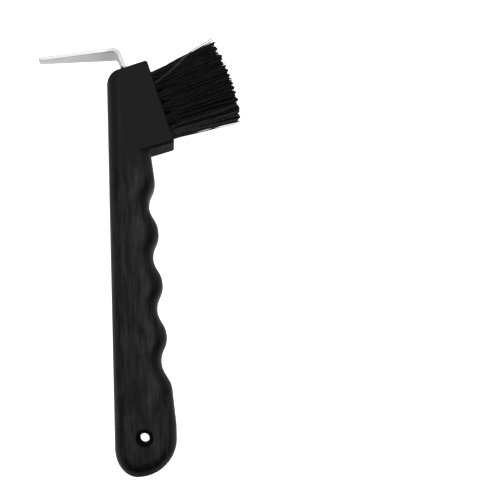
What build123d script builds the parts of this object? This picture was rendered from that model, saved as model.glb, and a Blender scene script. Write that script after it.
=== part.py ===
"""Hoof pick with a brush: a moulded handle, a bent steel pick and 24 bristle tufts.

It lies on its side. +X points the way the bristles point, +Y runs up the handle from the
hanging hole to the head, +Z is up through the thickness. The origin is the centre of the
hanging hole, half way through the handle, so the tool is alike above and below Z = 0.
All sizes are in millimetres and all angles in degrees.
"""

from build123d import *
import math
import os

os.makedirs("parts", exist_ok=True)

# ---- handle: one moulding of grip and head ----
handle_thickness = 22.0
grip_rounding = 6.0  # round of the grip's long edges
back_reach = 12.1  # hole centre to the straight back
butt_reach = 13.0  # hole centre to the front edge beside it
butt_depth = 15.7  # hole centre to the lowest point of the butt
butt_low_x = -2.9  # where that lowest point lies
back_end_y = -4.0  # where the straight back turns into the butt
front_end_y = -0.3  # where the front edge turns into the butt

# ---- finger grooves in the front edge ----
groove_count = 4
groove_pitch = 21.35
first_groove_y = 30.35
groove_swing = 2.84  # zigzag's corners to its middle line, before rounding
groove_round = 10.0  # at most what the grooves' slopes leave room for
front_reach = 10.75  # middle line of the grooves, measured level with the hole
front_lean = 3.17  # how fast this line closes in on the back
butt_side_y = 5.0  # where the butt's side turns towards the grooves
butt_shoulder = (5.3, -9.0)  # corner next to the lowest groove, from its own corner
neck_shoulder = (4.2, 8.8)  # corner next to the highest groove, from its own corner
neck_narrowing = 1.7  # from that corner to the head
neck_length = 22.75  # highest groove to the underside of the head

# ---- head ----
face_tilt = 17.2  # bristle face to the back
face_top_x = 4.7  # corner of the bristle face and the top, before rounding
face_length = 36.1
underside_slope = 15.5
head_rounding = 1.2  # round of the bristle face's edges
underside_rounding = 1.7  # round of the underside's long edges
top_rounding = 1.0  # round of the top's edges
heel_rounding = 6.5  # bend from the back into the top
heel_turn = 10.0  # corner that is left between the back and that bend
root_margin = 1.0  # head block and the grip's rounded edges, inside the head

# ---- hanging hole ----
hang_hole_radius = 2.0
hang_hole_rim = 1.1  # round of both rims

# ---- pick: one bent steel strip ----
pick_thickness = 1.6
pick_width = 16.6
tip_width = 6.4
tip_rounding = 1.0
blade_length = 32.7
blade_droop = 4.2  # the blade hangs towards the handle by this much
blade_straight = 4.5  # full width past the bend
shank_lean = 21.8  # shank to the back
shank_wall = 1.55  # plastic between the shank and the first row of tuft holes
shank_height = 8.6  # along the shank, from the top of the head to the bend
shoulder_rounding = 12.0  # where the full width turns into the taper
bend_radius = 2.5
tang_slant = 8.0  # part of the tang in line with the shank
tang_length = 36.0  # part of the tang that runs down the handle
tang_bend_radius = 4.0
tang_key_radius = 3.0  # hole that the moulded handle fills
tang_key_height = 10.0  # above the tang's end
pick_edge = 0.3
lip_height = 1.3  # moulded lip against the shank
lip_width = 1.2

# ---- brush ----
row_count = 6
column_count = 4
first_row = 6.3  # corner of the face to the first row
last_row = 5.8  # the last row to the lower corner
tuft_hole_radius = 1.75
column_wall = 1.0  # plastic between the tuft holes of neighbouring columns
tuft_hole_depth = 6.5
tuft_clearance = 0.05
tip_first_row = 2.6  # the same at the tips, where the tufts have spread
tip_last_row = 4.5
tip_side_inset = 0.7  # side of the head to the edge of the tips
tip_gap = 0.2  # between the tips of neighbouring tufts
bristle_reach = 31.0  # longest tuft, from the face
trim_place = 19.0  # where along the face the longest tuft ends
trim_radius = 75.0  # the tips are cut to this gentle arc

# ---- anchors that hold the tufts ----
anchor_thickness = 0.35
anchor_width = 1.6
anchor_bite = 0.3  # into the wall of the hole at each end
anchor_lift = 0.9  # above the bottom of the hole
anchor_turn = 45.0  # off the rows

# ---- allowances for cutting tools and for stock that is cut away ----
spare = 10.0
reach = 400.0


def slope(angle):
    return math.tan(math.radians(angle))


# ---- front edge of the grip, from the butt up to the neck ----
zigzag_corners = []
for groove in range(groove_count):
    valley_y = first_groove_y + groove * groove_pitch
    peak_y = valley_y + groove_pitch / 2
    valley_x = front_reach - valley_y * slope(front_lean) - groove_swing
    peak_x = front_reach - peak_y * slope(front_lean) + groove_swing
    zigzag_corners += [Vector(valley_x, valley_y), Vector(peak_x, peak_y)]
lowest_groove = zigzag_corners[0]
highest_groove = zigzag_corners[-2]
neck_corner = highest_groove + neck_shoulder
neck_top = Vector(neck_corner.X - neck_narrowing, highest_groove.Y + neck_length)
zigzag_angle = math.atan2(2 * groove_swing, groove_pitch / 2)
largest_round = groove_pitch / 4 / math.cos(zigzag_angle) / math.tan(zigzag_angle)

# ---- head: directions, corners and the plane of the bristle face ----
half_thickness = handle_thickness / 2
down_face = Vector(0, -1).rotate(Axis.Z, face_tilt)
out_of_face = Vector(1, 0).rotate(Axis.Z, face_tilt)
along_top = Vector(1, 0).rotate(Axis.Z, face_tilt)
face_low_x = face_top_x + face_length * down_face.X
face_low = Vector(face_low_x, neck_top.Y + (face_low_x - neck_top.X) * slope(underside_slope))
face_top = face_low - down_face * face_length
face_plane = Plane(origin=face_top, x_dir=down_face, z_dir=out_of_face)


def top_y(x):
    """Height of the head's sloping top at x."""
    return face_top.Y + (x - face_top.X) * slope(face_tilt)


stock_y = face_top.Y + spare
stock_x = face_top.X - spare * slope(face_tilt)
head_root_x = -back_reach + grip_rounding + root_margin
neck_stock_x = head_root_x + grip_rounding + root_margin
root_low_y = face_low.Y - (face_low.X - head_root_x) * slope(underside_slope)
heel_x = -back_reach + heel_rounding * math.cos(math.radians(heel_turn))
heel_y = top_y(heel_x) - heel_rounding / math.cos(math.radians(face_tilt))

# ---- places of the tufts on the bristle face ----
row_pitch = (face_length - first_row - last_row) / (row_count - 1)
column_pitch = 2 * tuft_hole_radius + column_wall
tip_row_pitch = (face_length - tip_first_row - tip_last_row) / (row_count - 1)
tip_width_across = handle_thickness - 2 * tip_side_inset
tuft_tip_radius = (tip_width_across - (column_count - 1) * tip_gap) / (2 * column_count)
tip_column_pitch = 2 * tuft_tip_radius + tip_gap

# ---- route of the pick's strip ----
up_shank = Vector(0, 1).rotate(Axis.Z, shank_lean)
out_blade = Vector(-1, 0).rotate(Axis.Z, blade_droop)
behind_shank = up_shank.rotate(Axis.Z, 90)
first_hole_corner = (
    face_top + down_face * (first_row + tuft_hole_radius) - out_of_face * tuft_hole_depth
)
shank_inside = first_hole_corner + behind_shank * (shank_wall + pick_thickness / 2)
shank_below_top = (shank_inside - face_top).dot(down_face) / -up_shank.dot(down_face)
shank_mouth = shank_inside + up_shank * shank_below_top
bend_point = shank_mouth + up_shank * shank_height
tip_point = bend_point + out_blade * blade_length
tang_bend = shank_mouth - up_shank * tang_slant
tang_end = tang_bend - Vector(0, tang_length)
taper_x = bend_point.X - blade_straight

with BuildPart() as pick:
    with BuildSketch(Plane.XY.offset(-pick_width / 2)):
        with BuildLine():
            FilletPolyline(
                tip_point + out_blade * spare,
                bend_point,
                tang_bend,
                tang_end,
                radius=(bend_radius, tang_bend_radius),
            )
        trace(line_width=pick_thickness)
    extrude(amount=pick_width)
    with BuildSketch(Plane.XZ):
        with BuildLine():
            Polyline(
                (tip_point.X, -tip_width / 2),
                (taper_x, -pick_width / 2),
                (spare, -pick_width / 2),
                (spare, pick_width / 2),
                (taper_x, pick_width / 2),
                (tip_point.X, tip_width / 2),
                close=True,
            )
        make_face()
        fillet(vertices().group_by(Axis.X)[1], radius=shoulder_rounding)
        fillet(vertices().group_by(Axis.X)[0], radius=tip_rounding)
    extrude(amount=reach, both=True, mode=Mode.INTERSECT)
    long_edges = pick.edges().filter_by(Axis.Z, reverse=True)
    fillet(long_edges.filter_by(lambda edge: edge.length > 2 * pick_thickness), radius=pick_edge)
    with BuildSketch(Plane.YZ):
        with Locations((tang_end.Y + tang_key_height, 0)):
            Circle(tang_key_radius)
    extrude(amount=reach, both=True, mode=Mode.SUBTRACT)
pick.part.label = "pick"

# ---- anchors and tufts, row by row from the top of the bristle face ----
tuft_roots = []
anchors = []
tufts = []
for row in range(row_count):
    root_along = first_row + row * row_pitch
    tip_along = tip_first_row + row * tip_row_pitch
    tuft_length = bristle_reach - (tip_along - trim_place) ** 2 / (2 * trim_radius)
    for column in range(column_count):
        from_middle = column - (column_count - 1) / 2
        root_across = from_middle * column_pitch
        tip_across = from_middle * tip_column_pitch
        tuft_roots.append((root_along, root_across))

        with BuildPart() as anchor:
            with BuildSketch(face_plane.offset(anchor_lift - tuft_hole_depth)):
                with Locations((root_along, root_across)):
                    Rectangle(
                        2 * (tuft_hole_radius + anchor_bite), anchor_thickness, rotation=anchor_turn
                    )
            extrude(amount=anchor_width)
        anchor.part.label = f"anchor_{row + 1}_{column + 1}"
        anchors.append(anchor.part)

        with BuildPart() as tuft:
            with BuildSketch(face_plane.offset(-tuft_hole_depth)):
                with Locations((root_along, root_across)):
                    Circle(tuft_hole_radius - tuft_clearance)
            extrude(amount=tuft_hole_depth)
            with BuildSketch(face_plane):
                with Locations((root_along, root_across)):
                    Circle(tuft_hole_radius - tuft_clearance)
            with BuildSketch(face_plane.offset(tuft_length)):
                with Locations((tip_along, tip_across)):
                    Circle(tuft_tip_radius)
            loft()
            add(anchor.part, mode=Mode.SUBTRACT)
        tuft.part.label = f"tuft_{row + 1}_{column + 1}"
        tufts.append(tuft.part)

# ---- head block, which the handle takes in ----
with BuildPart() as head_block:
    with BuildSketch(Plane.XY.offset(-half_thickness)):
        with BuildLine():
            Polyline(
                (head_root_x, root_low_y),
                face_low,
                (stock_x, stock_y),
                (head_root_x, stock_y),
                close=True,
            )
        make_face()
    extrude(amount=handle_thickness)
    bristle_face = head_block.faces().sort_by(Axis((0, 0, 0), out_of_face))[-1]
    underside = head_block.faces().sort_by(Axis.Y)[0]
    root_face = head_block.faces().sort_by(Axis.X)[0]
    underside_edges = underside.edges() - root_face.edges() - bristle_face.edges()
    fillet(underside_edges, radius=underside_rounding)
    bristle_face = head_block.faces().sort_by(Axis((0, 0, 0), out_of_face))[-1]
    stock_face = head_block.faces().sort_by(Axis.Y)[-1]
    fillet(bristle_face.edges() - stock_face.edges(), radius=head_rounding)

with BuildPart() as handle:
    with BuildSketch(Plane.XY.offset(-half_thickness)):
        with BuildLine():
            FilletPolyline(
                (butt_reach, front_end_y),
                (butt_reach, butt_side_y),
                lowest_groove + butt_shoulder,
                *zigzag_corners[:-1],
                neck_corner,
                neck_top,
                (neck_stock_x, stock_y),
                radius=min(groove_round, largest_round),
            )
            Polyline(
                (neck_stock_x, stock_y),
                (-back_reach, stock_y),
                (-back_reach, back_end_y),
            )
            EllipticalCenterArc(
                (butt_low_x, back_end_y),
                butt_low_x + back_reach,
                butt_depth + back_end_y,
                start_angle=180,
                arc_size=90,
            )
            EllipticalCenterArc(
                (butt_low_x, front_end_y),
                butt_reach - butt_low_x,
                butt_depth + front_end_y,
                start_angle=270,
                arc_size=90,
            )
        make_face()
    extrude(amount=handle_thickness)
    stock_edges = handle.faces().sort_by(Axis.Y)[-1].edges()
    fillet(handle.faces().filter_by(Axis.Z).edges() - stock_edges, radius=grip_rounding)
    add(head_block.part)

    # the sloping top and the heel's bend
    with BuildSketch(Plane.XY.offset(-half_thickness)):
        with BuildLine():
            heel = CenterArc(
                (heel_x, heel_y), heel_rounding, 180 - heel_turn, face_tilt + heel_turn - 90
            )
            Polyline(
                heel @ 1,
                (reach, top_y(reach)),
                (reach, reach),
                (-reach, reach),
                (-reach, (heel @ 0).Y),
                heel @ 0,
            )
        make_face()
    extrude(amount=handle_thickness, mode=Mode.SUBTRACT)
    top_face = handle.faces().sort_by(Axis((0, 0, 0), (heel @ 1) - (heel_x, heel_y)))[-1]
    fillet(top_face.edges().sort_by(Axis.X)[1:], radius=top_rounding)

    # moulded lip against the shank
    with BuildSketch(Plane.XY.offset(-pick_width / 2)):
        with BuildLine():
            Polyline(
                shank_mouth,
                shank_mouth - along_top * (pick_thickness / 2 + lip_width),
                shank_mouth - along_top * (pick_thickness / 2) + up_shank * lip_height,
                close=True,
            )
        make_face()
    extrude(amount=pick_width)

    # hanging hole with its rounded rims
    with BuildSketch(Plane.XY.offset(-half_thickness)):
        Circle(hang_hole_radius)
    extrude(amount=handle_thickness, mode=Mode.SUBTRACT)
    rims = handle.edges().filter_by(GeomType.CIRCLE)
    fillet(rims.filter_by(lambda edge: edge.radius == hang_hole_radius), radius=hang_hole_rim)

    # blind holes of the tufts
    with BuildSketch(face_plane.offset(-tuft_hole_depth)):
        for root in tuft_roots:
            with Locations(root):
                Circle(tuft_hole_radius)
    extrude(amount=tuft_hole_depth + spare, mode=Mode.SUBTRACT)

    # what is moulded round the tang and bitten by the anchors
    add(pick.part, mode=Mode.SUBTRACT)
    add(anchors, mode=Mode.SUBTRACT)
handle.part.label = "handle"

for piece in [handle.part, pick.part, *anchors, *tufts]:
    export_step(piece, f"parts/{piece.label}.step")
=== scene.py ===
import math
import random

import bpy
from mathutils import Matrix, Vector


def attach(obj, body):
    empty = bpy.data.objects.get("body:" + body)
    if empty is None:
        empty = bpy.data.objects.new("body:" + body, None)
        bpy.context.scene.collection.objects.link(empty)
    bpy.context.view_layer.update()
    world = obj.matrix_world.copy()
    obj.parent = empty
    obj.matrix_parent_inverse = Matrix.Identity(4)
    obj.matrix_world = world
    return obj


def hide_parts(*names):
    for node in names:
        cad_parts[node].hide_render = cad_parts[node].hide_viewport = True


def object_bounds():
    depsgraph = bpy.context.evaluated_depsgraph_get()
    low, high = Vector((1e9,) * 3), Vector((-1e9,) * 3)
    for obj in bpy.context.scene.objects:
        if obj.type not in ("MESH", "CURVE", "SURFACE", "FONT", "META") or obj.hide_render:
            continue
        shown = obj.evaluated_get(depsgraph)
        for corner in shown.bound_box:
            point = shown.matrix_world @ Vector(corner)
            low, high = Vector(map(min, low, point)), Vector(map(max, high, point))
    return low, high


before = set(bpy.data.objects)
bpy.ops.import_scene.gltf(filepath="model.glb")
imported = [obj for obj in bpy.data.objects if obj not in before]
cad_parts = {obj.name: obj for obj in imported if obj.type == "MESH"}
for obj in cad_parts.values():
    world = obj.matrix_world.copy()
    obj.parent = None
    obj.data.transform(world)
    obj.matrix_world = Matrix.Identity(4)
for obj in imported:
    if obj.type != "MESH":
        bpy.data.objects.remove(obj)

# Looks of the hoof pick: a black moulded handle, a plated steel pick and a brush of nylon tufts.
# The tool lies on its side. +X is the way the bristles point, +Y runs up the handle and +Z is up.
# Lengths are in metres. The handle, the pick and the anchors keep their CAD shape and get a
# finish here. Each tuft is made again, filament by filament, in the place of its CAD solid.

cad_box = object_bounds()
dice = random.Random(21)

# ---- camera ----
camera_stand = Vector((0.0120, 0.0180, 0.5780))
camera_turn = (5.790, -3.116, -1.832)  # degrees about X, then Y, then Z
camera_lens = 100.89  # millimetres, on a sensor 36 mm wide

# ---- light ----
softbox_size = (0.36, 1.3)
softbox_side = 0.34  # from the middle line to each softbox
softbox_middle_y = 0.07
softbox_height = 0.95
softbox_radiance = 1.5
room_radiance = 0.70
room_shade = 0.06  # radiance of the dark end of the room, in the direction that the butt points
room_dark_way = (-0.70, 0.0)  # Y of the directions where the dark end is full and where it has faded out
floor_size = 6.0
floor_lift = 1.0  # added where the camera sees the floor, so that it reads as white paper
floor_gleam = 0.26  # the same in reflections

# ---- finger grooves: a painted highlight and painted shade inside their edge ----
groove_pitch = 0.02135
first_peak_y = 0.041025
grooves_reach = 0.01075
grooves_lean = math.tan(math.radians(3.17))
grooves_swing = 0.0016  # of the grooves' edge to each side of its middle line
flank_turn = math.radians(70)  # from a peak to its flank below, where shade is painted, as a part of the wave
groove_light_from_butt = (0.002, 0.014)  # Y where the painted highlight and shade of the grooves begin and where they are full
groove_light_to_head = (0.122, 0.108)  # Y where they end and where they are still full
highlight_inner = (0.0034, 0.0066)  # inside the grooves' edge: where the painted highlight begins and where it is full
highlight_outer = (0.0105, 0.0072)  # where it ends and where it is still full
highlight_wave = (-1.0, 0.6)  # of the grooves' wave: where the painted highlight is weakest and where it is full
highlight_between_peaks = 0.35  # share of the painted highlight that is left at the bottom of a groove
flank_shade_inner = (0.0008, 0.0022)
flank_shade_outer = (0.0062, 0.0036)
flank_shade_wave = (-0.2, 0.8)  # of the wave turned to the flank: where the painted shade begins and where it is full

# ---- black plastic: greys are linear, shares are of each effect ----
grip_top = (0.124, 0.104)  # Y where the grip's streaks end below the head and where they are still full
butt_shade_span = (-0.003, -0.014)  # Y where painted shade on the butt begins and where it is darkest
fine_share = 0.60
broad_share = 0.22
blotch_share = 0.26
highlight_share = 0.45
flank_shade_share = 0.35
butt_shade_share = 0.35
tone_sum_range = (0.34, 1.30)  # sum of the streaks, painted highlight and painted shade that is darkest and palest
darkest_plastic = 0.0003
palest_grip = 0.0260
head_black = 0.0046
head_share = 0.85
patch_share = 0.12
worn_grey = 0.030
dust_grey = 0.050
hole_shade_radius = (0.0040, 0.0032)  # round the hanging hole: where the painted shade begins and where it is full
plastic_roughness = 0.36
streak_dullness = 0.10
patch_dullness = 0.08
underside_dullness = 0.30
hole_rim_dullness = 0.60
butt_facing = (-0.6, -0.9)  # Y of the normals of faces that begin to look towards the butt, and that do
plastic_gloss = 0.135
streak_height = 0.8
grain_height = 0.35
parting_height = 1.6
parting_half_width = (0.00022, 0.00008)  # at the foot of the parting line and at its top

# ---- brush: its directions, rows, columns and hole depth are those of the CAD ----
bristle_way = Vector((math.cos(math.radians(17.2)), math.sin(math.radians(17.2)), 0))
down_face = Vector((bristle_way.y, -bristle_way.x, 0))
across = Vector((0, 0, 1))
row_count = 6
column_count = 4
hole_depth = 0.0065
disc_slack = 0.00005  # how far a tuft solid's rim may stand off its end
filament = 0.00041  # diameter
filament_pitch = 0.00043  # between filaments packed in a hole
line_nesting = 0.87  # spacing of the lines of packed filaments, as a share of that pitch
anchor_gap = 0.0004  # middle of the anchor to the nearest filaments
anchor_turn = math.radians(45)
fold_height = 0.0006  # of the filaments' folds over the bottom of the hole
fold_shoulder = 0.0013  # where the legs turn into the fold
fold_width = 0.7  # of the fold half way down, as a share of the legs' spacing
leg_steps = 8
flare_share = 0.80  # part of the spread that happens close to the face
flare_reach = 0.0022
lean_scatter = 0.0004  # of whole tufts
edge_lean = 0.2  # share of it that is left across the face in the outer columns
bow_scatter = 0.00055
tip_scatter = 0.00075
length_scatter = 0.00016
clump_count = 7
clump_pull = 0.30
clump_step = 0.00015
tooth_pitch = 0.0025  # of the jagged line in which the trimmed tips end
tooth_depth = 0.0010
tooth_turn = 0.5  # where the line starts, in teeth
tooth_sway = 0.6  # of the teeth from even spacing, in teeth
tooth_sway_pace = 0.73  # radians of this sway for each tooth
tooth_skew = 0.2  # how far down the face this line moves across it, as a share of that way
corner_reach = 0.0012  # of the corner tufts' tips past the middle line: the brush's corners are rounded
edge_trim = 0.55  # each outer leg stays within a random share of its limit, from this one up to 1
side_trim = 0.8  # the same across the face
stray_count = 2  # at most, in each tuft of the outer rows
stray_zone = 0.7  # share of the way to the tuft's edge beyond which a leg may be a stray
stray_chance = 0.4
stray_reach = (0.0013, 0.0026)  # of the strays' tips past the tuft's middle line
stray_thickness = 0.6  # of a filament

# Both legs of one filament of the second row lie across the first row and end beyond it. The points
# are those of the first leg, from the mouth of the hole: places down the face, across it and out.
crossing_thickness = 0.85  # of a filament
crossing_gap = 0.0009  # about how far the legs are apart at their tips, down the face
crossing_tuft = (1, 0)
crossing_route = [
    (-0.0011, 0.0030, 0.0015),
    (-0.0035, 0.0038, 0.0075),
    (-0.0052, 0.0040, 0.0111),
    (-0.0071, 0.0041, 0.0146),
    (-0.0086, 0.0041, 0.0179),
    (-0.0099, 0.0041, 0.0232),
    (-0.0111, 0.0041, 0.0284),
]


def linear(level):
    """A grey of that linear level."""
    return (level, level, level, 1)


# ---------------------------------------------------------------- shader node groups

def new_group(name, inputs, outputs):
    """A shader node group with its named sockets, and its input and output nodes."""
    group = bpy.data.node_groups.new(name, "ShaderNodeTree")
    for label, kind, value in inputs:
        socket = group.interface.new_socket(name=label, in_out="INPUT", socket_type=kind)
        if value is not None:
            socket.default_value = value
    for label, kind in outputs:
        group.interface.new_socket(name=label, in_out="OUTPUT", socket_type=kind)
    return group, group.nodes.new("NodeGroupInput"), group.nodes.new("NodeGroupOutput")


def math_node(tree, operation, first, second=None, clamp=False):
    """A Math node with its inputs set or linked. Returns its result."""
    node = tree.nodes.new("ShaderNodeMath")
    node.operation = operation
    node.use_clamp = clamp
    for slot, value in enumerate((first, second)):
        if value is None:
            continue
        if isinstance(value, (int, float)):
            node.inputs[slot].default_value = value
        else:
            tree.links.new(value, node.inputs[slot])
    return node.outputs[0]


def map_range(tree, value, low, high, to_low=0.0, to_high=1.0, smooth=True):
    """A Map Range node, smooth unless told otherwise. Returns its result."""
    node = tree.nodes.new("ShaderNodeMapRange")
    node.interpolation_type = "SMOOTHSTEP" if smooth else "LINEAR"
    tree.links.new(value, node.inputs["Value"])
    for label, number in (("From Min", low), ("From Max", high), ("To Min", to_low), ("To Max", to_high)):
        if isinstance(number, (int, float)):
            node.inputs[label].default_value = number
        else:
            tree.links.new(number, node.inputs[label])
    return node.outputs["Result"]


def noise(tree, vector, scale, detail=3.0, roughness=0.55, distortion=0.0):
    """A Noise Texture. Returns its value, about 0.5 in the middle."""
    node = tree.nodes.new("ShaderNodeTexNoise")
    tree.links.new(vector, node.inputs["Vector"])
    settings = {"Scale": scale, "Detail": detail, "Roughness": roughness, "Distortion": distortion}
    for label, number in settings.items():
        if isinstance(number, (int, float)):
            node.inputs[label].default_value = number
        else:
            tree.links.new(number, node.inputs[label])
    return node.outputs["Fac"]


def band(tree, value, rise, fall):
    """A mask that is 1 between its rise and its fall. Each is where it leaves 0 and where it reaches 1."""
    return math_node(tree, "MULTIPLY", map_range(tree, value, *rise), map_range(tree, value, *fall))


def add_share(tree, total, value, share):
    """The total plus that share of the value. A share below 0 takes it away."""
    return math_node(tree, "ADD", total, math_node(tree, "MULTIPLY", value, share))


def object_place(tree):
    """The place on the object, in metres."""
    return tree.nodes.new("ShaderNodeTexCoord").outputs["Object"]


def make_streaks_group():
    """Fine streaks along the handle: 0 to 1, stretched along Y."""
    group, given, out = new_group(
        "lengthwise_streaks",
        [("Scale", "NodeSocketFloat", 900.0), ("Stretch", "NodeSocketFloat", 14.0)],
        [("Mask", "NodeSocketFloat")],
    )
    shrink = math_node(group, "DIVIDE", 1.0, given.outputs["Stretch"])
    scaled = group.nodes.new("ShaderNodeCombineXYZ")
    scaled.inputs["X"].default_value = 1.0
    scaled.inputs["Z"].default_value = 1.0
    group.links.new(shrink, scaled.inputs["Y"])
    squeeze = group.nodes.new("ShaderNodeVectorMath")
    squeeze.operation = "MULTIPLY"
    group.links.new(object_place(group), squeeze.inputs[0])
    group.links.new(scaled.outputs[0], squeeze.inputs[1])
    grain = noise(group, squeeze.outputs[0], given.outputs["Scale"], 4.0, 0.6, 0.3)
    group.links.new(map_range(group, grain, 0.32, 0.68), out.inputs["Mask"])
    return group


def make_mottle_group():
    """Soft patches where the mould left the surface a little duller: 0 to 1."""
    group, given, out = new_group(
        "soft_patches",
        [("Scale", "NodeSocketFloat", 60.0), ("Contrast", "NodeSocketFloat", 0.2)],
        [("Mask", "NodeSocketFloat")],
    )
    patches = noise(group, object_place(group), given.outputs["Scale"], 2.0, 0.5, 0.2)
    low = math_node(group, "SUBTRACT", 0.5, given.outputs["Contrast"])
    high = math_node(group, "ADD", 0.5, given.outputs["Contrast"])
    group.links.new(map_range(group, patches, low, high), out.inputs["Mask"])
    return group


def make_wear_group():
    """Worn edges: 1 on a sharp edge, broken up by a fine noise."""
    group, given, out = new_group(
        "edge_wear",
        [("Width", "NodeSocketFloat", 0.0008), ("Amount", "NodeSocketFloat", 1.0),
         ("Break Up Scale", "NodeSocketFloat", 500.0)],
        [("Mask", "NodeSocketFloat")],
    )
    bevel = group.nodes.new("ShaderNodeBevel")
    bevel.samples = 6
    group.links.new(given.outputs["Width"], bevel.inputs["Radius"])
    surface = group.nodes.new("ShaderNodeNewGeometry")
    likeness = group.nodes.new("ShaderNodeVectorMath")
    likeness.operation = "DOT_PRODUCT"
    group.links.new(bevel.outputs["Normal"], likeness.inputs[0])
    group.links.new(surface.outputs["Normal"], likeness.inputs[1])
    edge = map_range(group, likeness.outputs["Value"], 0.995, 0.9)
    broken = noise(group, object_place(group), given.outputs["Break Up Scale"], 4.0, 0.6)
    kept = math_node(group, "MULTIPLY", edge, map_range(group, broken, 0.4, 0.62))
    group.links.new(math_node(group, "MULTIPLY", kept, given.outputs["Amount"], True), out.inputs["Mask"])
    return group


def make_dust_group():
    """Sparse fine specks of dust, more on faces that look up: 0 to 1."""
    group, given, out = new_group(
        "fine_dust",
        [("Scale", "NodeSocketFloat", 1500.0), ("Amount", "NodeSocketFloat", 0.5)],
        [("Mask", "NodeSocketFloat")],
    )
    specks = map_range(group, noise(group, object_place(group), given.outputs["Scale"], 1.0, 0.5), 0.66, 0.78)
    surface = group.nodes.new("ShaderNodeNewGeometry")
    split = group.nodes.new("ShaderNodeSeparateXYZ")
    group.links.new(surface.outputs["Normal"], split.inputs[0])
    upward = map_range(group, split.outputs["Z"], -0.2, 0.9, 0.25, 1.0)
    settled = math_node(group, "MULTIPLY", specks, upward)
    group.links.new(math_node(group, "MULTIPLY", settled, given.outputs["Amount"], True), out.inputs["Mask"])
    return group


streaks_group = make_streaks_group()
mottle_group = make_mottle_group()
wear_group = make_wear_group()
dust_group = make_dust_group()


# ---------------------------------------------------------------- materials

def new_material(name):
    """A material with its node tree and its Principled shader."""
    material = bpy.data.materials.new(name)
    material.use_nodes = True
    tree = material.node_tree
    return material, tree, tree.nodes["Principled BSDF"]


def effect(tree, group, **values):
    """Places a node group in a material, with its own values. Returns its mask."""
    node = tree.nodes.new("ShaderNodeGroup")
    node.node_tree = group
    for label, value in values.items():
        node.inputs[label.replace("_", " ")].default_value = value
    return node.outputs["Mask"]


def mix_colours(tree, share, first, second):
    """A Mix Color node. Returns its colour."""
    node = tree.nodes.new("ShaderNodeMix")
    node.data_type = "RGBA"
    tree.links.new(share, node.inputs["Factor"])
    for label, value in (("A", first), ("B", second)):
        socket = next(s for s in node.inputs if s.name == label and s.type == "RGBA")
        if isinstance(value, tuple):
            socket.default_value = value
        else:
            tree.links.new(value, socket)
    return next(s for s in node.outputs if s.type == "RGBA")


def bump(tree, shader, height, strength, distance):
    """Feeds a height through a Bump node to the shader's normal."""
    node = tree.nodes.new("ShaderNodeBump")
    node.inputs["Strength"].default_value = strength
    node.inputs["Distance"].default_value = distance
    tree.links.new(height, node.inputs["Height"])
    tree.links.new(node.outputs["Normal"], shader.inputs["Normal"])


def groove_painted_light(tree, place):
    """Masks inside the edge of the finger grooves: where a highlight is painted, and where shade is painted
    on the flanks.
    """
    from_first_peak = math_node(tree, "SUBTRACT", place["Y"], first_peak_y)
    turn = math_node(tree, "MULTIPLY", from_first_peak, 2 * math.pi / groove_pitch)
    wave = math_node(tree, "COSINE", turn)
    lean = math_node(tree, "MULTIPLY", place["Y"], -grooves_lean)
    middle = math_node(tree, "ADD", lean, grooves_reach)
    edge = add_share(tree, middle, wave, grooves_swing)
    inside = math_node(tree, "SUBTRACT", edge, place["X"])
    along = band(tree, place["Y"], groove_light_from_butt, groove_light_to_head)
    pale = math_node(
        tree, "MULTIPLY",
        band(tree, inside, highlight_inner, highlight_outer),
        map_range(tree, wave, *highlight_wave, highlight_between_peaks, 1.0),
    )
    flank = math_node(tree, "COSINE", math_node(tree, "ADD", turn, flank_turn))
    dark = math_node(
        tree, "MULTIPLY",
        band(tree, inside, flank_shade_inner, flank_shade_outer),
        map_range(tree, flank, *flank_shade_wave),
    )
    return math_node(tree, "MULTIPLY", pale, along), math_node(tree, "MULTIPLY", dark, along)


def grip_streaks_and_shading(tree, place, on_grip):
    """How pale the grip is, from 0 to about 1, and 0 on the head: its streaks, with a painted highlight and
    painted shade along the grooves and painted shade towards the butt.
    """
    fine = effect(tree, streaks_group, Scale=650.0, Stretch=7.0)
    broad = effect(tree, streaks_group, Scale=260.0, Stretch=14.0)
    blotches = effect(tree, streaks_group, Scale=190.0, Stretch=2.2)
    pale, dark = groove_painted_light(tree, place)
    shaded_butt = map_range(tree, place["Y"], *butt_shade_span)
    flow = math_node(tree, "MULTIPLY", fine, fine_share)
    flow = add_share(tree, flow, broad, broad_share)
    flow = add_share(tree, flow, blotches, blotch_share)
    # Painted highlight and painted shade inside the grooves' edge.
    flow = add_share(tree, flow, pale, highlight_share)
    flow = add_share(tree, flow, dark, -flank_shade_share)
    # Painted shade towards the butt.
    flow = add_share(tree, flow, shaded_butt, -butt_shade_share)
    return math_node(tree, "MULTIPLY", map_range(tree, flow, *tone_sum_range, smooth=False), on_grip)


def hole_painted_shade(tree, place):
    """A mask of the painted shade round the hanging hole, which stands at the origin."""
    squares = [math_node(tree, "POWER", place[axis], 2.0) for axis in "XY"]
    from_hole = math_node(tree, "POWER", math_node(tree, "ADD", *squares), 0.5)
    return map_range(tree, from_hole, *hole_shade_radius)


def facing_butt(tree):
    """A mask of the faces that look towards the butt, such as the underside of the head."""
    surface = tree.nodes.new("ShaderNodeNewGeometry")
    facing = tree.nodes.new("ShaderNodeSeparateXYZ")
    tree.links.new(surface.outputs["Normal"], facing.inputs[0])
    return map_range(tree, facing.outputs["Y"], *butt_facing)


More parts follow.
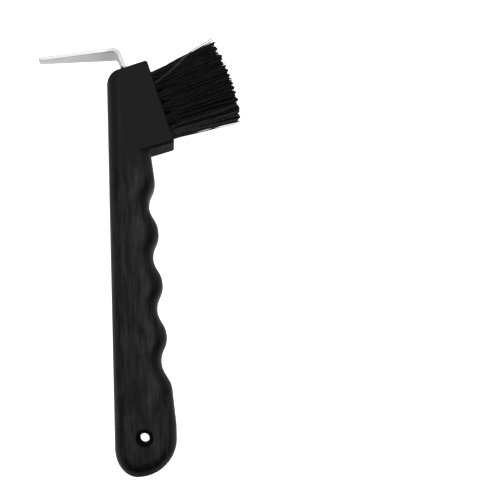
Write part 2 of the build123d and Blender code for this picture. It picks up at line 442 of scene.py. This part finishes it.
def make_handle_plastic():
    """Black moulded plastic: streaked and mottled along the grip, with a painted highlight and painted shade
    along the grooves and painted shade at the butt; plain on the head but for painted shade round the hanging
    hole.
    """
    material, tree, shader = new_material("moulded_black_plastic")
    split = tree.nodes.new("ShaderNodeSeparateXYZ")
    tree.links.new(object_place(tree), split.inputs[0])
    place = {axis: split.outputs[axis] for axis in "XYZ"}
    on_grip = map_range(tree, place["Y"], *grip_top)
    grip_tone = grip_streaks_and_shading(tree, place, on_grip)
    patches = effect(tree, mottle_group, Scale=70.0, Contrast=0.16)
    wear = effect(tree, wear_group, Width=0.0007, Amount=0.6, Break_Up_Scale=420.0)
    dust = effect(tree, dust_group, Scale=1700.0, Amount=0.10)
    rim_shade = hole_painted_shade(tree, place)

    # The grip's streaks, with painted highlight and painted shade, between the darkest and palest plastic.
    streaked = mix_colours(tree, grip_tone, linear(darkest_plastic), linear(palest_grip))
    off_grip = math_node(tree, "MULTIPLY", math_node(tree, "SUBTRACT", 1.0, on_grip), head_share)
    patchy = add_share(tree, off_grip, patches, patch_share)
    patched = mix_colours(tree, patchy, streaked, linear(head_black))
    worn = mix_colours(tree, wear, patched, linear(worn_grey))
    dusty = mix_colours(tree, dust, worn, linear(dust_grey))
    # Painted shade round the hanging hole.
    tree.links.new(mix_colours(tree, rim_shade, dusty, linear(darkest_plastic)), shader.inputs["Base Color"])

    dullness = math_node(tree, "MULTIPLY", grip_tone, streak_dullness)
    dullness = add_share(tree, dullness, patches, patch_dullness)
    dullness = add_share(tree, dullness, facing_butt(tree), underside_dullness)
    dullness = add_share(tree, dullness, rim_shade, hole_rim_dullness)
    tree.links.new(math_node(tree, "ADD", dullness, plastic_roughness), shader.inputs["Roughness"])
    shader.inputs["Specular IOR Level"].default_value = plastic_gloss

    grain = noise(tree, object_place(tree), 2600.0, 2.0, 0.5)
    parting = map_range(tree, math_node(tree, "ABSOLUTE", place["Z"]), *parting_half_width)
    height = math_node(tree, "MULTIPLY", grip_tone, streak_height)
    height = add_share(tree, height, grain, grain_height)
    height = add_share(tree, height, parting, parting_height)
    bump(tree, shader, height, 0.30, 0.00006)
    return material


def make_pick_steel():
    """Plated steel strip with a fine brushed grain and brighter worn edges."""
    material, tree, shader = new_material("plated_steel")
    brushed = effect(tree, streaks_group, Scale=2600.0, Stretch=0.06)
    patches = effect(tree, mottle_group, Scale=160.0, Contrast=0.18)
    wear = effect(tree, wear_group, Width=0.0004, Amount=0.8, Break_Up_Scale=900.0)
    plated = mix_colours(tree, patches, (0.60, 0.60, 0.605, 1), (0.70, 0.70, 0.70, 1))
    worn = mix_colours(tree, wear, plated, (0.90, 0.90, 0.895, 1))
    tree.links.new(worn, shader.inputs["Base Color"])
    shader.inputs["Metallic"].default_value = 1.0
    finish = add_share(tree, math_node(tree, "MULTIPLY", brushed, 0.10), patches, 0.08)
    tree.links.new(math_node(tree, "ADD", finish, 0.26), shader.inputs["Roughness"])
    bump(tree, shader, brushed, 0.12, 0.00002)
    return material


def make_anchor_wire():
    """Plain drawn wire of the anchors."""
    material, tree, shader = new_material("anchor_wire")
    drawn = effect(tree, streaks_group, Scale=1800.0, Stretch=1.0)
    wire = mix_colours(tree, drawn, (0.50, 0.49, 0.46, 1), (0.62, 0.60, 0.55, 1))
    tree.links.new(wire, shader.inputs["Base Color"])
    shader.inputs["Metallic"].default_value = 1.0
    tree.links.new(map_range(tree, drawn, 0.0, 1.0, 0.28, 0.42), shader.inputs["Roughness"])
    return material


def make_bristle_nylon(name, dark, light, gloss):
    """Nylon filament of shades from dark to light: glossy, a little uneven, dusted here and there."""
    material, tree, shader = new_material(name)
    shade = effect(tree, mottle_group, Scale=650.0, Contrast=0.2)
    dust = effect(tree, dust_group, Scale=1400.0, Amount=0.5)
    nylon = mix_colours(tree, shade, linear(dark), linear(light))
    tree.links.new(mix_colours(tree, dust, nylon, (0.045, 0.043, 0.040, 1)), shader.inputs["Base Color"])
    tree.links.new(map_range(tree, shade, 0.0, 1.0, 0.26, 0.40), shader.inputs["Roughness"])
    shader.inputs["Specular IOR Level"].default_value = gloss
    bump(tree, shader, shade, 0.15, 0.00003)
    return material


def make_floor_paper():
    """White paper. It takes the object's shadow, and reads as white to the camera."""
    material, tree, shader = new_material("white_paper")
    fibres = noise(tree, object_place(tree), 900.0, 2.0)
    tree.links.new(mix_colours(tree, fibres, linear(0.80), linear(0.83)), shader.inputs["Base Color"])
    shader.inputs["Roughness"].default_value = 0.9
    shader.inputs["Specular IOR Level"].default_value = 0.0
    path = tree.nodes.new("ShaderNodeLightPath")
    mirrored = math_node(tree, "MAXIMUM", path.outputs["Is Glossy Ray"], path.outputs["Is Transmission Ray"])
    seen = math_node(tree, "MULTIPLY", path.outputs["Is Camera Ray"], floor_lift)
    lift = math_node(tree, "ADD", seen, math_node(tree, "MULTIPLY", mirrored, floor_gleam))
    shader.inputs["Emission Color"].default_value = (1, 1, 1, 1)
    tree.links.new(lift, shader.inputs["Emission Strength"])
    return material


# ---------------------------------------------------------------- camera, light and floor

def make_camera():
    """The camera looks down on the tool from above the lower part of the grip."""
    data = bpy.data.cameras.new("camera")
    data.sensor_width = 36.0
    data.lens = camera_lens
    data.clip_start = 0.01
    data.clip_end = 20.0
    camera = bpy.data.objects.new("camera", data)
    camera.location = camera_stand
    camera.rotation_euler = [math.radians(turn) for turn in camera_turn]
    bpy.context.scene.collection.objects.link(camera)
    bpy.context.scene.camera = camera


def make_softbox(name, side):
    """One long softbox, parallel to the handle, turned towards the tool."""
    data = bpy.data.lights.new(name, "AREA")
    data.shape = "RECTANGLE"
    data.size, data.size_y = softbox_size
    data.energy = softbox_radiance * math.pi * softbox_size[0] * softbox_size[1]
    lamp = bpy.data.objects.new(name, data)
    lamp.location = (side * softbox_side, softbox_middle_y, softbox_height)
    lamp.rotation_euler = (0, side * math.atan2(softbox_side, softbox_height), 0)
    bpy.context.scene.collection.objects.link(lamp)


def make_room():
    """Pale surroundings with one dark end, which the camera sees as white all over."""
    world = bpy.data.worlds.new("pale_room")
    world.use_nodes = True
    bpy.context.scene.world = world
    tree = world.node_tree
    background = tree.nodes["Background"]
    background.inputs["Color"].default_value = (1, 1, 1, 1)
    way = tree.nodes.new("ShaderNodeSeparateXYZ")
    tree.links.new(tree.nodes.new("ShaderNodeTexCoord").outputs["Generated"], way.inputs[0])
    lit = map_range(tree, way.outputs["Y"], *room_dark_way, room_shade, room_radiance)
    path = tree.nodes.new("ShaderNodeLightPath")
    strength = map_range(tree, path.outputs["Is Camera Ray"], 0, 1, lit, 1.0, smooth=False)
    tree.links.new(strength, background.inputs["Strength"])


def make_floor(material):
    """A wide flat sheet of paper under the tool."""
    lowest = cad_box[0].z
    half = floor_size / 2
    mesh = bpy.data.meshes.new("paper_floor")
    corners = [(-half, -half, lowest), (half, -half, lowest), (half, half, lowest), (-half, half, lowest)]
    mesh.from_pydata(corners, [], [(0, 1, 2, 3)])
    mesh.materials.append(material)
    floor = bpy.data.objects.new("paper_floor", mesh)
    bpy.context.scene.collection.objects.link(floor)


# ---------------------------------------------------------------- brush

def tuft_disc(node, end):
    """Centre of a tuft solid's end, 0 for the one in the hole and 1 for the tip, and its radius."""
    spots = [vertex.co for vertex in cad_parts[node].data.vertices]
    levels = [spot.dot(bristle_way) for spot in spots]
    level = max(levels) if end else min(levels)
    rim = [spot for spot, own in zip(spots, levels) if abs(own - level) < disc_slack]
    downs = [spot.dot(down_face) for spot in rim]
    sides = [spot.z for spot in rim]
    middle_down = (min(downs) + max(downs)) / 2
    middle_side = (min(sides) + max(sides)) / 2
    centre = bristle_way * level + down_face * middle_down + across * middle_side
    return centre, (max(sides) - min(sides)) / 2


def packed_places(radius):
    """Places of the folded filaments in a hole, on one side of the anchor: along it and across it."""
    reach = radius - filament / 2
    places = []
    line = 0
    offset = anchor_gap
    while offset < reach:
        half_width = math.sqrt(reach ** 2 - offset ** 2)
        count = int(2 * half_width / filament_pitch) + 1
        for index in range(count):
            places.append(((index - (count - 1) / 2) * filament_pitch, offset))
        line += 1
        offset = anchor_gap + line * filament_pitch * line_nesting
    return places


def to_square(u, v):
    """Spreads a unit disc over a square, keeping its middle where it is."""
    longest = max(abs(u), abs(v))
    if longest < 1e-6:
        return 0.0, 0.0
    stretch = math.hypot(u, v) / longest
    return u * stretch, v * stretch


class Tuft:
    """One tuft: where it leaves the face, where its tips end and how its filaments are packed."""

    def __init__(self, row, column):
        self.node = f"tuft_{row + 1}_{column + 1}"
        self.row = row
        self.column = column
        self.bottom, self.radius = tuft_disc(self.node, 0)
        self.mouth = self.bottom + bristle_way * hole_depth
        self.tip = tuft_disc(self.node, 1)[0]
        self.length = (self.tip - self.mouth).dot(bristle_way)


def tip_cell(tufts, tuft):
    """Half sizes of the patch that a tuft's tips fill, down the face and across it."""
    below = tufts.get((tuft.row + 1, tuft.column)) or tufts[(tuft.row - 1, tuft.column)]
    beside = tufts.get((tuft.row, tuft.column + 1)) or tufts[(tuft.row, tuft.column - 1)]
    down = abs((below.tip - tuft.tip).dot(down_face)) / 2
    side = abs((beside.tip - tuft.tip).z) / 2
    return down, side


def trimmed_length(tufts, tuft, down):
    """Length of a filament that ends at that place down the face: the tips follow one gentle arc."""
    rows = [tufts[(row, tuft.column)] for row in range(row_count)]
    places = [own.tip.dot(down_face) for own in rows]
    lengths = [own.length for own in rows]
    spot = min(range(row_count - 1), key=lambda row: abs((places[row] + places[row + 1]) / 2 - down))
    share = (down - places[spot]) / (places[spot + 1] - places[spot])
    return lengths[spot] + share * (lengths[spot + 1] - lengths[spot])


def leg_points(start, aim, lean, length, bow, early):
    """Points of one leg from the mouth of the hole to its tip, as places down the face, across it and out.
    It spreads from its start to its aim within the tuft, while the tuft leans over evenly. Early is the part
    of the spread that happens close to the face, down the face and across it."""
    points = []
    full = 1 - math.exp(-length / flare_reach)
    for step in range(leg_steps + 1):
        share = step / leg_steps
        flare = (1 - math.exp(-share * length / flare_reach)) / full
        spread = [part * flare + (1 - part) * share for part in early]
        wave = math.sin(math.pi * share)
        down = start[0] + (aim[0] - start[0]) * spread[0] + lean[0] * share + bow[0] * wave
        side = start[1] + (aim[1] - start[1]) * spread[1] + lean[1] * share + bow[1] * wave
        points.append((down, side, length * share))
    return points


def tooth(place):
    """Height of the jagged line of the trimmed tips at a place down the face, 0 to 1."""
    turn = tooth_turn + place / tooth_pitch + tooth_sway * math.sin(place / tooth_pitch * tooth_sway_pace)
    return abs(2 * (turn % 1) - 1)


def filament_line(tuft, legs, offset):
    """Points of one filament from tip to tip: down a leg, round the anchor and up the other leg."""
    first, second = legs
    (down_a, side_a, _), (down_b, side_b, _) = first[0], second[0]
    low = fold_height - hole_depth
    turn = fold_shoulder - hole_depth
    down_mid = (down_a + down_b) / 2
    side_mid = (side_a + side_b) / 2
    down_step = (down_a - down_mid) * fold_width
    side_step = (side_a - side_mid) * fold_width
    half_way = (low + turn) / 2
    fold = [
        (down_a, side_a, turn),
        (down_mid + down_step, side_mid + side_step, half_way),
        (down_mid, side_mid, low + offset),
        (down_mid - down_step, side_mid - side_step, half_way),
        (down_b, side_b, turn),
    ]
    return [*reversed(first), *fold, *second]


def tube_mesh(name, lines, radius, materials):
    """One mesh of tubes with flat ends. Each line is its points and its share of the radius. Full tubes
    take the first material, and any thinner ones the second."""
    curve = bpy.data.curves.new(name + "_line", "CURVE")
    curve.dimensions = "3D"
    curve.bevel_depth = radius
    curve.bevel_resolution = 1
    curve.use_fill_caps = True
    curve.resolution_u = 2
    for material in materials:
        curve.materials.append(material)
    for line, thickness in lines:
        spline = curve.splines.new("NURBS")
        spline.material_index = int(thickness < 1)
        spline.points.add(len(line) - 1)
        for point, place in zip(spline.points, line):
            point.co = (*place, 1)
            point.radius = thickness
        spline.order_u = 3
        spline.use_endpoint_u = True
    holder = bpy.data.objects.new(name + "_line", curve)
    bpy.context.scene.collection.objects.link(holder)
    bpy.context.view_layer.update()
    mesh = bpy.data.meshes.new_from_object(holder.evaluated_get(bpy.context.evaluated_depsgraph_get()))
    bpy.data.objects.remove(holder)
    mesh.name = name
    mesh.polygons.foreach_set("use_smooth", [True] * len(mesh.polygons))
    return mesh


def tuft_lines(tufts, tuft):
    """The filaments of one tuft: the places of each down the face, across it and out, and its thickness."""
    half_down, half_side = tip_cell(tufts, tuft)
    clumps = [
        (dice.uniform(-1, 1) * half_down, dice.uniform(-1, 1) * half_side, dice.uniform(-1, 1) * clump_step)
        for _ in range(clump_count)
    ]
    way = tuft.tip - tuft.mouth
    kept_lean = edge_lean if tuft.column in (0, column_count - 1) else 1
    lean = (way.dot(down_face) + dice.gauss(0, lean_scatter), way.z + dice.gauss(0, lean_scatter) * kept_lean)
    cosine, sine = math.cos(anchor_turn), math.sin(anchor_turn)
    outward = {0: -1, row_count - 1: 1}.get(tuft.row, 0)
    sideways = {0: 1, column_count - 1: -1}.get(tuft.column, 0)
    at_corner = outward and tuft.column in (0, column_count - 1)
    strays_left = stray_count if outward else 0
    places = packed_places(tuft.radius)
    lines = []
    for along, off in places:
        legs = []
        thickness = 1.0
        for half in (1, -1):
            spot = (along * cosine - half * off * sine, along * sine + half * off * cosine)
            square = to_square(spot[0] / tuft.radius, spot[1] / tuft.radius)
            aim = [square[0] * half_down, square[1] * half_side]
            pull = min(clumps, key=lambda clump: math.dist(clump[:2], aim))
            aim = [own + (target - own) * clump_pull for own, target in zip(aim, pull)]
            aim[0] += dice.gauss(0, tip_scatter)
            aim[1] += dice.gauss(0, tip_scatter)
            outer = max(0.0, square[0] * outward)
            outer_side = max(0.0, square[1] * sideways)
            limit = corner_reach if at_corner else half_down - filament
            if outer:
                aim[0] = outward * min(outward * aim[0], limit * dice.uniform(edge_trim, 1))
            if sideways:
                aim[1] = sideways * min(sideways * aim[1], half_side * dice.uniform(side_trim, 1))
            if outer > stray_zone and strays_left and dice.random() < stray_chance:
                strays_left -= 1
                thickness = stray_thickness
                aim[0] = outward * dice.uniform(*stray_reach)
            place = tuft.mouth.dot(down_face) + aim[0] + lean[0]
            length = trimmed_length(tufts, tuft, place) + pull[2] + dice.gauss(0, length_scatter)
            length -= tooth_depth * tooth(place - tooth_skew * (tuft.mouth.z + aim[1] + lean[1]))
            inner = [(1 - part) ** 2 for part in (outer, outer_side)]
            bow = [dice.gauss(0, bow_scatter) * share for share in inner]
            early = [flare_share * share for share in inner]
            legs.append(leg_points(spot, aim, lean, length, bow, early))
        if (tuft.row, tuft.column) == crossing_tuft and (along, off) == places[-1]:
            gaps = [crossing_gap * index / len(crossing_route) for index in range(len(crossing_route))]
            legs = [
                crossing_route,
                [(down + gap, side - gap / 4, out) for (down, side, out), gap in zip(crossing_route, gaps)],
            ]
            thickness = crossing_thickness
        lines.append((filament_line(tuft, legs, dice.uniform(0, filament)), thickness))
    return lines


def make_bristles(tufts, tuft, nylon, paler_nylon):
    """The filaments of one tuft, as one piece that stands for its CAD solid."""
    placed = []
    for line, thickness in tuft_lines(tufts, tuft):
        spots = [
            tuft.mouth + down_face * down + across * side + bristle_way * out
            for down, side, out in line
        ]
        placed.append((spots, thickness))
    mesh = tube_mesh(f"bristles_{tuft.row + 1}_{tuft.column + 1}", placed, filament / 2, (nylon, paler_nylon))
    piece = bpy.data.objects.new(mesh.name, mesh)
    bpy.context.scene.collection.objects.link(piece)
    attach(piece, "root")
    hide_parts(tuft.node)
    return piece


def make_brush(nylon, paler_nylon):
    """All the tufts, row by row."""
    tufts = {(row, column): Tuft(row, column) for row in range(row_count) for column in range(column_count)}
    for tuft in tufts.values():
        make_bristles(tufts, tuft, nylon, paler_nylon)


# ---------------------------------------------------------------- put together

def finish_node(name, material):
    """Gives a CAD node its material."""
    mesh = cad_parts[name].data
    mesh.materials.clear()
    mesh.materials.append(material)


make_camera()
for side_name, side in (("softbox_left", -1), ("softbox_right", 1)):
    make_softbox(side_name, side)
make_room()
make_floor(make_floor_paper())
finish_node("handle", make_handle_plastic())
finish_node("pick", make_pick_steel())
wire = make_anchor_wire()
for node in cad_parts:
    if node.startswith("anchor_"):
        finish_node(node, wire)
black_nylon = make_bristle_nylon("black_nylon_filament", 0.0015, 0.0045, 0.18)
# A paler copy of the black nylon for the strays and the crossing filament: a painted highlight, as they lie
# out in the light beyond the shaded mass.
highlit_nylon = make_bristle_nylon("highlit_nylon_filament", 0.018, 0.040, 0.35)
make_brush(black_nylon, highlit_nylon)

view = bpy.context.scene.view_settings
view.view_transform = "Standard"
